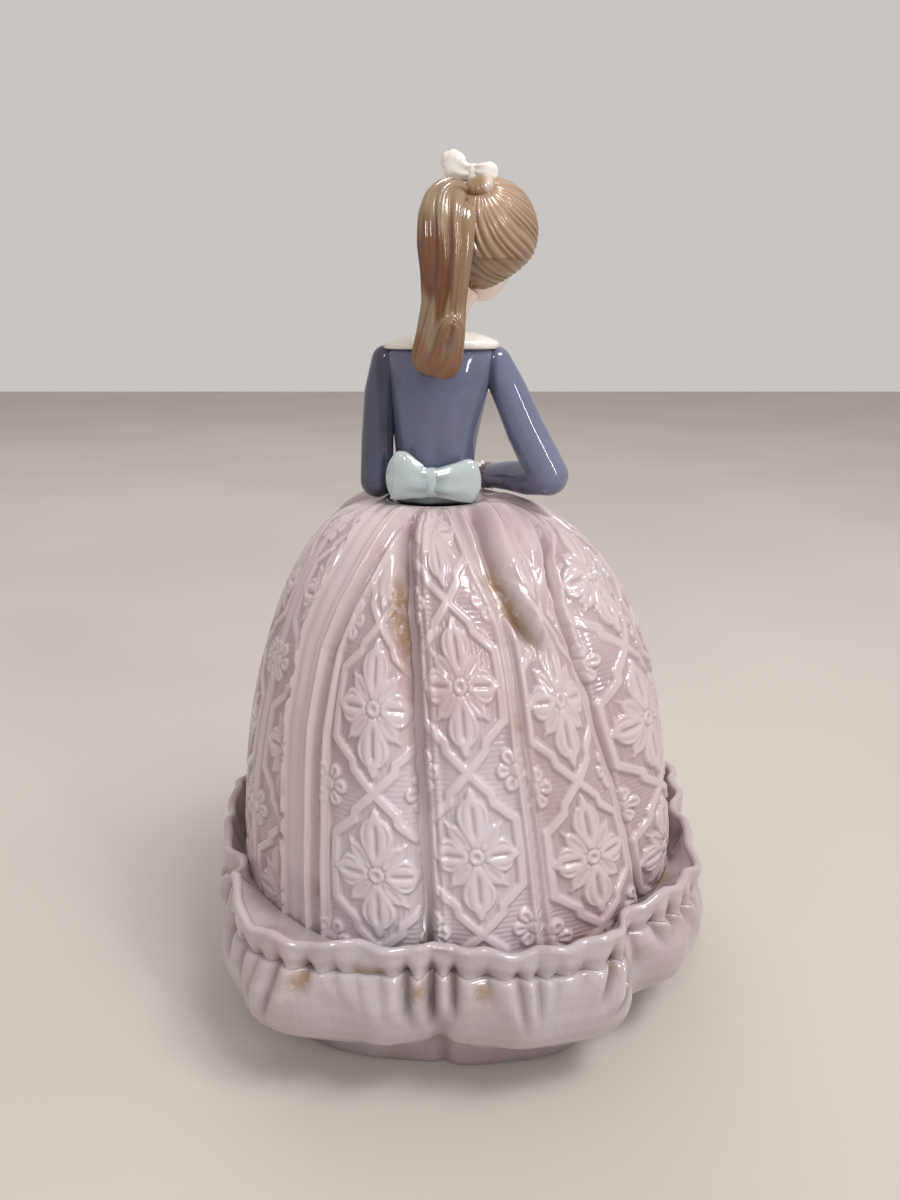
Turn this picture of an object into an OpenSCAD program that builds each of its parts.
// Slip-cast porcelain figurine of a standing girl in a ball gown, as the separate
// castings that a potter lutes together before the glaze firing.
// Millimetres, +Z up. The table is z = 0 and the girl faces -Y, so her back is towards +Y
// and her left hand is towards +X. Angles round the gown start at the back (+Y)
// and grow towards her right hand (-X).

/* [Gown] */
// Radius of the skirt's hem, outside
hem_r = 72; // [68:0.5:74]
// Radius of the skirt's top, outside
waist_r = 15.5; // [15:0.5:18]
// Height of the skirt's top face
waist_z = 161; // [155:1:165]
// Wall thickness of the large castings
wall = 3; // [2:0.25:3.5]
// Depth of the folds between the skirt's panels
fold_depth = 3.2; // [1:0.2:4]

/* [Flounce and foot] */
// Radius of the flounce at its fullest, at the pinches between its swags
flounce_r = 76.5; // [75.5:0.5:78]
// Outward swell of the fullest swag of the flounce
swag = 13; // [8:0.5:13.5]
// Height of the ledge that carries the skirt and the frill
ledge_z = 43; // [41:0.5:46]
// Height of the frill above the ledge
frill_h = 9.5; // [7:0.5:11]
// Outside radius of the foot
foot_r = 62; // [58:0.5:63]
// Height of the foot
foot_h = 15; // [13:0.5:17]

/* [Vent] */
// Radius of the firing vent in the base plate
vent_r = 4; // [3:0.25:6]
// Thickness of the base plate
plate_t = 3.5; // [3:0.25:5]

/* [Torso] */
// Height of the shoulders
shoulder_z = 207; // [205:0.5:209]
// Half width of the back at the shoulders
back_r = 16.6; // [15.5:0.1:17]
// Half width of the waist
waist_w = 12.2; // [11.5:0.1:13]
// Radius of the neck's spigot
spigot_r = 3.2; // [2.5:0.1:3.6]

/* [Head] */
// Half width of the head
head_w = 12.6; // [11.5:0.1:13]
// Half depth of the head, from face to nape
head_d = 14.6; // [13.5:0.1:15.5]
// Height of the crown above the head's middle
crown_h = 14.5; // [13.5:0.1:15.5]
// Height of the head's middle above the chin
chin_h = 18; // [16.5:0.1:19]
// Thickness of the cap of hair
hair_t = 2.2; // [1.5:0.1:2.8]

/* [Hidden] */

gap = 0.1;                 // luting gap between neighbouring castings
waist_c = [7.2, 0];        // middle of the waist in plan
neck_at = [1.8, 0];        // middle of the neck's root in plan
round_n = 108;             // facets round the gown
limb_n = 14;               // facets round a limb
skirt_rows = 11;           // rings up the skirt

// Directions of the folds round the skirt, from the back towards her right hand.
folds = [-7, 20, 54, 84, 115, 147, 178, 209, 238, 262, 325];
// How far the flounce swells in each direction round the gown, as a share of the fullest swag.
// It hangs in eight swags, and each low value is the pinch between two of them.
swags = [[-63, 0.15], [-56, 0.55], [-48, 0.85], [-41, 1], [-34, 0.85], [-26, 0.55], [-18, 0.3],
         [-10, 0.1], [-4, 0], [2, 0.1], [10, 0.25], [20, 0.46], [29, 0.55], [34, 0.5], [38.5, 0.1],
         [46, 0.2], [54, 0.45], [61, 0.57], [69, 0.5], [77, 0.3], [84, 0.1], [93, 0.25], [104, 0.36],
         [115, 0.4], [124, 0.27], [130, 0.1], [138, 0.28], [150, 0.43], [163, 0.34], [172, 0.1],
         [181, 0.26], [193, 0.42], [206, 0.34], [214, 0.1], [222, 0.3], [236, 0.44], [249, 0.33],
         [257, 0.08], [266, 0.24], [277, 0.3], [288, 0.28], [297, 0.15]];

porcelain_pink = [0.85, 0.77, 0.77];
porcelain_lilac = [0.84, 0.83, 0.88];
glaze_blue = [0.42, 0.44, 0.56];
ribbon_green = [0.78, 0.83, 0.83];
bow_white = [0.95, 0.94, 0.92];
hair_brown = [0.62, 0.49, 0.36];
skin = [0.93, 0.82, 0.77];
cuff_brown = [0.45, 0.40, 0.37];

// ---------------------------------------------------------------- helpers

function unit(v) = v / norm(v);
function mix(a, b, t) = a + (b - a) * t;
function smooth(t) = let (c = max(0, min(1, t))) c * c * (3 - 2 * c);
// Point at angle a and radius r round the middle c, at height z.
function around(c, r, a, z) = [c[0] - r * sin(a), c[1] + r * cos(a), z];
// Where angle a lies between its two neighbours in a rising list, from 0 to 1.
function share(a, list) =
    let (n = len(list),
         s = a < list[0] ? a + 360 : a,
         k = max([for (i = [0 : n - 1]) if (list[i] <= s) i]),
         next = k == n - 1 ? list[0] + 360 : list[k + 1])
    (s - list[k]) / (next - list[k]);
// 0 in a valley and near 1 across the panel between two valleys.
function panel(w) = sqrt(max(0, sin(180 * w)));

function bezier(p, t) =
    let (u = 1 - t)
    u * u * u * p[0] + 3 * u * u * t * p[1] + 3 * u * t * t * p[2] + t * t * t * p[3];

// A closed sheet: grid[i][j] closes up in both directions, as round a ring of any section.
module ring_solid(grid) {
    n = len(grid);
    m = len(grid[0]);
    polyhedron(
        points = [for (row = grid) each row],
        faces = [for (i = [0 : n - 1], j = [0 : m - 1])
                    let (a = i * m + j,
                         b = i * m + (j + 1) % m,
                         c = ((i + 1) % n) * m + (j + 1) % m,
                         d = ((i + 1) % n) * m + j)
                    each [[a, b, c], [a, c, d]]]);
}

// A solid through a row of rings, closed by a point beyond each end.
module lofted(rings, start, end) {
    n = len(rings);
    m = len(rings[0]);
    polyhedron(
        points = [for (row = rings) each row, start, end],
        faces = [for (i = [0 : n - 2], j = [0 : m - 1])
                    let (a = i * m + j,
                         b = i * m + (j + 1) % m,
                         c = (i + 1) * m + (j + 1) % m,
                         d = (i + 1) * m + j)
                    each [[a, d, c], [a, c, b]],
                 for (j = [0 : m - 1])
                    each [[n * m, j, (j + 1) % m],
                          [n * m + 1, (n - 1) * m + (j + 1) % m, (n - 1) * m + j]]]);
}

// A limb along a bezier p: sizes lists [t, half width, half thickness] in rising t,
// and flat is the direction in which the half thickness is measured.
module limb(p, sizes, flat, n = limb_n) {
    rows = [for (s = sizes)
        let (c = bezier(p, s[0]),
             ahead = bezier(p, min(1, s[0] + 0.02)),
             behind = bezier(p, max(0, s[0] - 0.02)),
             run = unit(ahead - behind),
             side = unit(cross(flat, run)),
             up = cross(run, side))
        [for (k = [0 : n - 1])
            let (a = 360 * k / n) c + s[1] * cos(a) * side + s[2] * sin(a) * up]];
    first = bezier(p, sizes[0][0]);
    last = bezier(p, sizes[len(sizes) - 1][0]);
    lofted(rows, first, last);
}

// ---------------------------------------------------------------- gown

// Swell of the flounce at angle a.
function swell(a) = swag * lookup(a > 297 ? a - 360 : a, swags);

foot_inside = foot_r - wall - 2.7;     // inside radius of the foot

module foot() {
    color(porcelain_lilac)
    linear_extrude(foot_h)
    difference() {
        polygon([for (i = [0 : round_n - 1])
            let (a = 360 * i / round_n, r = foot_r - 1 + 0.6 * swell(a))
            [-r * sin(a), r * cos(a)]]);
        circle(r = foot_inside, $fn = round_n);
    }
}

module base_plate() {
    plate_r = foot_inside - gap / 2;
    recess = 1.5;
    color(porcelain_lilac)
    translate([0, 0, recess])
    difference() {
        cylinder(r = plate_r, h = plate_t, $fn = round_n);
        translate([0, 0, -1]) cylinder(r = vent_r, h = plate_t + 2, $fn = 48);
    }
}

// The flounce's section as rows of radius, height and the share of the swell it takes:
// first the outside from the foot up to the ledge, then the inside back down.
function flounce_section() = [
    [foot_r - 5, foot_h, 0], [foot_r + 2, foot_h, 0.7], [flounce_r - 6.5, foot_h + 1.6, 0.95],
    [flounce_r - 1.8, foot_h + 6, 1], [flounce_r, foot_h + 12, 1],
    [flounce_r - 0.6, foot_h + 21, 1], [flounce_r - 2.6, ledge_z, 1],
    [hem_r - 4.5, ledge_z, 0], [hem_r - 4.5, ledge_z - wall, 0],
    [flounce_r - 5.6, ledge_z - wall - 1, 0.8], [flounce_r - 4, foot_h + 20, 0.9],
    [flounce_r - 3.6, foot_h + 12, 0.9], [flounce_r - 7, foot_h + 6, 0.8],
    [foot_r + 1, foot_h + wall, 0.5], [foot_r - 5, foot_h + wall, 0]];

module flounce() {
    color(porcelain_lilac)
    ring_solid([for (i = [0 : round_n - 1])
        let (a = 360 * i / round_n)
        [for (p = flounce_section()) around([0, 0], p[0] + swell(a) * p[2], a, p[1])]]);
}

// The frill stands taller at both her sides than behind her.
function frill_top(a) =
    let (f = abs((a + 180) % 360 - 180))
    frill_h * (1 + 0.9 * smooth((f - 62) / 46) * (1 - 0.45 * smooth((f - 120) / 55)));

module frill() {
    inner = hem_r + 0.6;
    // Radius beyond the hem, share of the height, and share of the swell.
    section = [[0, 0, 0], [1.2, 0, 1], [2.2, 0.8, 1], [1.4, 1, 1], [-0.2, 0.85, 0.95],
               [0, 0.45, 0.45], [0, 0.25, 0]];
    color(porcelain_lilac)
    ring_solid([for (i = [0 : round_n - 1])
        let (a = 360 * i / round_n, s = swell(a) + 0.5 * sin(27 * a) + 0.5)
        [for (p = section) around([0, 0], inner + p[0] + s * p[2], a, ledge_z + frill_top(a) * p[1])]]);
}

bell_full = 0.87;           // below 1 the bell is fuller than a quarter ellipse

// Outside radius of the skirt for a share t of the way up, before the folds.
function bell_r(t) = mix(waist_r, hem_r, pow(cos(90 * t), bell_full));
function bell_z(t) = mix(ledge_z, waist_z, sin(90 * t));
function bell_c(t) = let (s = smooth(t * t)) [waist_c[0] * s, waist_c[1] * s];
function fold(a, t) =
    let (deep = fold_depth * sin(180 * pow(t, 1.15)) + 0.8 * (1 - t))
    deep * (panel(share(a, folds)) - 1);

module skirt() {
    ways_up = [for (k = [0 : skirt_rows]) k / skirt_rows];
    ways_down = [1, 0.8, 0.6, 0.4, 0.2, 0];
    function inside_r(t) = bell_r(t) - wall * (t == 1 ? 2 : 1) - 0.6 * fold_depth * sin(180 * t);
    color(porcelain_pink)
    ring_solid([for (i = [0 : round_n - 1])
        let (a = 360 * i / round_n)
        concat(
            [for (t = ways_up) around(bell_c(t), bell_r(t) + fold(a, t), a, bell_z(t))],
            [for (t = ways_down)
                around(bell_c(t), inside_r(t), a, bell_z(t) - (t == 0 ? 0 : wall * t))])]);
}

// ---------------------------------------------------------------- torso

sash_h = 6;                // height of the sash
sash_depth = 9.4;          // half depth of the waist that it goes round

// Rings of the torso from waist to neck: height, middle in x, half width, half depth.
function torso() = [
    [waist_z, waist_c[0], waist_w, 9.4], [waist_z + 9, 7.2, waist_w - 0.2, 9.2],
    [waist_z + 21, 6.7, waist_w + 0.9, 10], [waist_z + 30, 6, waist_w + 2.3, 10.6],
    [shoulder_z - 7, 5.6, back_r - 0.7, 10.2], [shoulder_z - 2, 5.5, back_r, 8.8],
    [shoulder_z, 5, back_r - 1.8, 7.4], [shoulder_z + 1.4, 3, back_r - 8, 6]];

function torso_ring(row, grow) =
    [for (i = [0 : 35])
        [row[1] - (row[2] + grow) * sin(10 * i), (row[3] + grow) * cos(10 * i), row[0]]];

// The torso without its hollow, grown outwards, for cutting the seats of what is luted on.
module torso_form(grow) {
    t = torso();
    top = t[len(t) - 1];
    lofted([for (row = t) torso_ring(row, grow)],
           [waist_c[0], 0, waist_z - grow], [top[1], 0, top[0] + grow]);
}

module bodice() {
    t = torso();
    top = t[len(t) - 1][0];
    hole = [top, neck_at[0], spigot_r + gap, spigot_r + gap];
    rows = concat([for (row = t) torso_ring(row, 0)],
                  [torso_ring(hole, 0), torso_ring([shoulder_z - 4, hole[1], hole[2], hole[3]], 0)],
                  [for (k = [4 : -1 : 0]) torso_ring(t[k], -wall)]);
    color(glaze_blue)
    ring_solid([for (i = [0 : 35]) [for (row = rows) row[i]]]);
}

// The sash's outline grown outwards, with bulge as its swell half way up.
module sash_form(grow, bulge) {
    rows = [for (p = [[0.9, 0, -1], [bulge, 0.5, 0], [0.9, 1, 1]])
        torso_ring([waist_z + p[1] * sash_h + p[2] * grow, waist_c[0], waist_w + p[0],
                    sash_depth + p[0]], grow)];
    lofted(rows, [waist_c[0], 0, waist_z - grow], [waist_c[0], 0, waist_z + sash_h + grow]);
}

module waist_sash() {
    color(ribbon_green)
    difference() {
        sash_form(0, 1.4);
        torso_form(gap);
    }
}

module collar() {
    reach = 16.4;
    depth = 8.6;
    edge = 2.6;
    color(bow_white)
    difference() {
        ring_solid([for (i = [0 : 35])
            let (a = 10 * i)
            [[neck_at[0] - 5 * sin(a), 5 * cos(a), shoulder_z],
             [5.2 - reach * sin(a), depth * cos(a), shoulder_z - 1],
             [5.2 - (reach + 0.5) * sin(a), (depth + 0.5) * cos(a), shoulder_z + edge - 1.4],
             [5.2 - (reach - 1.6) * sin(a), (depth - 1) * cos(a), shoulder_z + edge],
             [neck_at[0] - 7.4 * sin(a), 6 * cos(a), shoulder_z + 3.6],
             [neck_at[0] - 5 * sin(a), 5 * cos(a), shoulder_z + 3.8]]]);
        torso_form(gap);
        neck_limb(gap);
    }
}

// ---------------------------------------------------------------- sash bow

bow_z = waist_z + 8.2;
sash_knot = [7.8, 12.4, bow_z];

module sash_loop(side) {
    tip = side > 0 ? [21, 12, bow_z + 1] : [-6.4, 12, bow_z - 1];
    tall = side > 0 ? 7.6 : 6.7;
    start = sash_knot + side * [2.5, 0, 0];
    color(ribbon_green)
    difference() {
        limb([start, mix(start, tip, 0.35), mix(start, tip, 0.7), tip],
             [[0, 2.6, 1.6], [0.3, 0.66 * tall, 2.3], [0.6, 0.92 * tall, 2.7],
              [0.85, tall, 2.3], [1, 0.74 * tall, 1.2]], [0, 1, 0]);
        torso_form(gap);
        sash_form(gap, 1.4);
    }
}

module sash_bow_knot() {
    color(ribbon_green)
    difference() {
        translate(sash_knot)
        limb([[0, 0, -3.6], [0, 0.6, -1.2], [0, 0.6, 1.2], [0, 0, 3.6]],
             [[0, 1.6, 1.6], [0.3, 2.4, 2.4], [0.7, 2.4, 2.4], [1, 1.6, 1.6]], [0, 1, 0]);
        torso_form(gap);
        sash_form(gap, 1.4);
    }
}

// ---------------------------------------------------------------- arms

left_shoulder = [22, 0, shoulder_z - 2];
left_elbow = [25, 4.5, waist_z + 7];
left_wrist = [18.5, -23, waist_z + 3.6];
right_shoulder = [-12.4, 0, shoulder_z - 2.6];
right_elbow = [-27.4, 5, waist_z + 8];
right_wrist = [-12, -19, waist_z + 4];

// A sleeve from shoulder s over elbow e to wrist w; full is the elbow's radius.
module sleeve(s, e, w, full) {
    color(glaze_blue)
    difference() {
        union() {
            limb([s, mix(s, e, 0.35), mix(s, e, 0.7), e],
                 [[0, 0.5 * full, 0.5 * full], [0.06, 0.8 * full, 0.85 * full],
                  [0.25, 0.95 * full, full], [0.6, 0.98 * full, full], [0.85, 0.98 * full, full],
                  [1, 0.94 * full, 0.96 * full]], [0, 1, 0]);
            translate(e) sphere(r = full, $fn = 32);
            limb([e, mix(e, w, 0.3), mix(e, w, 0.7), w],
                 [[0, 0.96 * full, 0.96 * full], [0.3, 0.88 * full, 0.86 * full],
                  [0.6, 0.8 * full, 0.78 * full], [1, 3.6, 3.4]], [0, 0, 1]);
        }
        torso_form(gap);
        sash_form(gap, 1.4);
    }
}

module cuff(e, w) {
    run = unit(w - e);
    color(cuff_brown)
    limb([w + run * gap, w + run * 1.4, w + run * 2.8, w + run * 4],
         [[0, 3.7, 3.5], [0.25, 4.4, 4.3], [0.75, 4.4, 4.3], [1, 3.8, 3.6]], [0, 0, 1]);
}

module cuff_frill(e, w) {
    run = unit(w - e);
    at = w + run * (4 + gap);
    color(bow_white)
    limb([at, at + run * 0.8, at + run * 1.6, at + run * 2.6],
         [[0, 3, 2.8], [0.5, 3.9, 3.7], [1, 4.6, 4.4]], [0, 0, 1]);
}

module hand(e, w, turn) {
    run = unit(w - e);
    at = w + run * (6.6 + 5 * gap);
    ahead = unit(run + turn);
    color(skin)
    limb([at, at + run * 4, at + run * 6 + ahead * 2, at + run * 7 + ahead * 8],
         [[0, 2.2, 2], [0.25, 2.9, 2.1], [0.55, 3.6, 1.9], [0.8, 3.2, 1.5], [1, 2, 0.9]], [0, 0, 1]);
}

// ---------------------------------------------------------------- head

head_at = [-8.4, -3, 236.6];
head_turn = [-18, -14, -22];    // leaning forward, towards her right, and turned that way

module posed() {
    translate(head_at) rotate(head_turn) children();
}

// Distance from the head's middle to its surface in the direction d.
function head_r(d) =
    let (low = d[2] < 0,
         jaw = low ? 1 - 0.25 * smooth(-d[2] * 1.2) : 1,
         nape = low && d[1] > 0 ? 0.9 * jaw : 1,
         h = low ? chin_h : crown_h)
    1 / norm([d[0] / (head_w * jaw), d[1] / (head_d * nape), d[2] / h]);
function toward(lat, lon) = [cos(lat) * sin(lon), cos(lat) * cos(lon), sin(lat)];

// The head's solid, grown outwards.
module head_form(grow) {
    lats = [-78 : 13 : 78];
    posed()
    lofted([for (lat = lats)
               [for (k = [0 : 23]) let (d = toward(lat, -15 * k)) d * (head_r(d) + grow)]],
           [0, 0, -0.98 * chin_h - grow], [0, 0, crown_h + grow]);
}

module head() {
    color(skin) head_form(0);
}

// Directions over the cap of hair: down is the angle from its middle, which is at the back
// of the crown, and lon runs round it.
cap_tilt = 42;
function cap_dir(down, lon) =
    let (d = [sin(down) * sin(lon), sin(down) * cos(lon), cos(down)])
    [d[0], d[1] * cos(cap_tilt) + d[2] * sin(cap_tilt), d[2] * cos(cap_tilt) - d[1] * sin(cap_tilt)];

module hair_cap() {
    rim = 104;
    steps = 8;
    sink = 0.8;
    function at(i, lon) = cap_dir(mix(4, rim, i / steps), lon);
    color(hair_brown)
    difference() {
        posed()
        ring_solid([for (k = [0 : 31])
            let (lon = 11.25 * k)
            concat(
                [for (i = [0 : steps])
                    let (d = at(i, lon)) d * (head_r(d) + hair_t * (i == steps ? 0.55 : 1))],
                [for (i = [steps : -1 : 0]) let (d = at(i, lon)) d * (head_r(d) - sink)])]);
        head_form(gap);
    }
}

neck_root = [neck_at[0], neck_at[1], shoulder_z - 3.6];
neck_top = head_at + [5.2, 2, 3.6 - chin_h];

module neck_limb(grow) {
    limb([neck_root, neck_root + [0.4, 0, 6], neck_root + [0.5, 0, 11.5], neck_top],
         [[0, 4.8 + grow, 4.6 + grow], [0.35, 4.3 + grow, 4.2 + grow],
          [0.7, 4 + grow, 4 + grow], [1, 4.2 + grow, 4.2 + grow]], [0, 1, 0]);
}

module neck() {
    color(skin)
    union() {
        difference() {
            neck_limb(0);
            torso_form(gap);
            head_form(gap);
        }
        translate(neck_root) cylinder(r = spigot_r, h = 7, $fn = 32);
    }
}

tie_at = [-5.4, 7, 250];

module tie_form(grow) {
    translate(tie_at) rotate([-40, 20, 0])
        cylinder(r = 3.6 + grow, h = 3 + 2 * grow, center = true, $fn = 32);
}

module hair_tie() {
    color(hair_brown)
    difference() {
        tie_form(0);
        head_form(hair_t + 4 * gap);
        translate(bow_at) sphere(r = bow_knot_r + gap, $fn = 32);
    }
}

// The ponytail springs from the tie, falls behind the head and lies on the back.
tail = [[-1.2, 8.6, 248.6], [6, 17.3, 249.4], [1.9, 22, 225.5], [6.4, 14.6, 199.6]];

module ponytail() {
    color(hair_brown)
    difference() {
        limb(tail,
             [[0, 4.2, 2.4], [0.08, 5.8, 3.2], [0.25, 7.4, 4], [0.45, 8, 3.9], [0.7, 6.4, 3.4],
              [0.88, 7.5, 3], [0.96, 7, 2.4], [1, 5.4, 1.4]], [0, 1, 0], 20);
        head_form(hair_t + 4 * gap);
        torso_form(gap);
        tie_form(gap);
    }
}

module ponytail_curl() {
    color(hair_brown)
    limb([[5, 22.7, 216.5], [-1.5, 24, 214.5], [-2.6, 21.8, 208.5], [2.6, 20.2, 207.5]],
         [[0, 1.2, 0.9], [0.3, 2, 1.4], [0.6, 2.2, 1.4], [0.85, 1.8, 1.2], [1, 0.9, 0.7]], [0, 1, 0]);
}

// ---------------------------------------------------------------- hair bow

bow_at = [-4.2, 3.4, 254.8];
bow_knot_r = 1.8;

module hair_bow_loop(side) {
    start = bow_at + side * [1.8, 0, 0.3];
    tip = side > 0 ? [4.2, 2, 257] : [-10.2, 4, 253.6];
    tall = side > 0 ? 3.7 : 4.2;
    color(bow_white)
    difference() {
        limb([start, mix(start, tip, 0.35), mix(start, tip, 0.7), tip],
             [[0, 1.3, 1.2], [0.3, 0.66 * tall, 1.7], [0.6, 0.94 * tall, 2.1],
              [0.85, tall, 1.9], [1, 0.66 * tall, 1]], [0, 1, 0]);
        head_form(hair_t + 4 * gap);
        tie_form(gap);
    }
}

module hair_bow_knot() {
    color(bow_white)
    translate(bow_at) sphere(r = bow_knot_r, $fn = 32);
}

// ---------------------------------------------------------------- nodes

foot();
base_plate();
flounce();
frill();
skirt();
waist_sash();
sash_loop(1);  // sash_bow_left_loop
sash_loop(-1);  // sash_bow_right_loop
sash_bow_knot();
bodice();
collar();
neck();
head();
hair_cap();
hair_tie();
ponytail();
ponytail_curl();
hair_bow_loop(1);  // hair_bow_left_loop
hair_bow_loop(-1);  // hair_bow_right_loop
hair_bow_knot();
sleeve(left_shoulder, left_elbow, left_wrist, 5);  // left_sleeve
sleeve(right_shoulder, right_elbow, right_wrist, 6.1);  // right_sleeve
cuff(left_elbow, left_wrist);  // left_cuff
cuff(right_elbow, right_wrist);  // right_cuff
cuff_frill(left_elbow, left_wrist);  // left_cuff_frill
cuff_frill(right_elbow, right_wrist);  // right_cuff_frill
hand(left_elbow, left_wrist, [-1, 0, -0.2]);  // left_hand
hand(right_elbow, right_wrist, [1, 0, -0.2]);  // right_hand
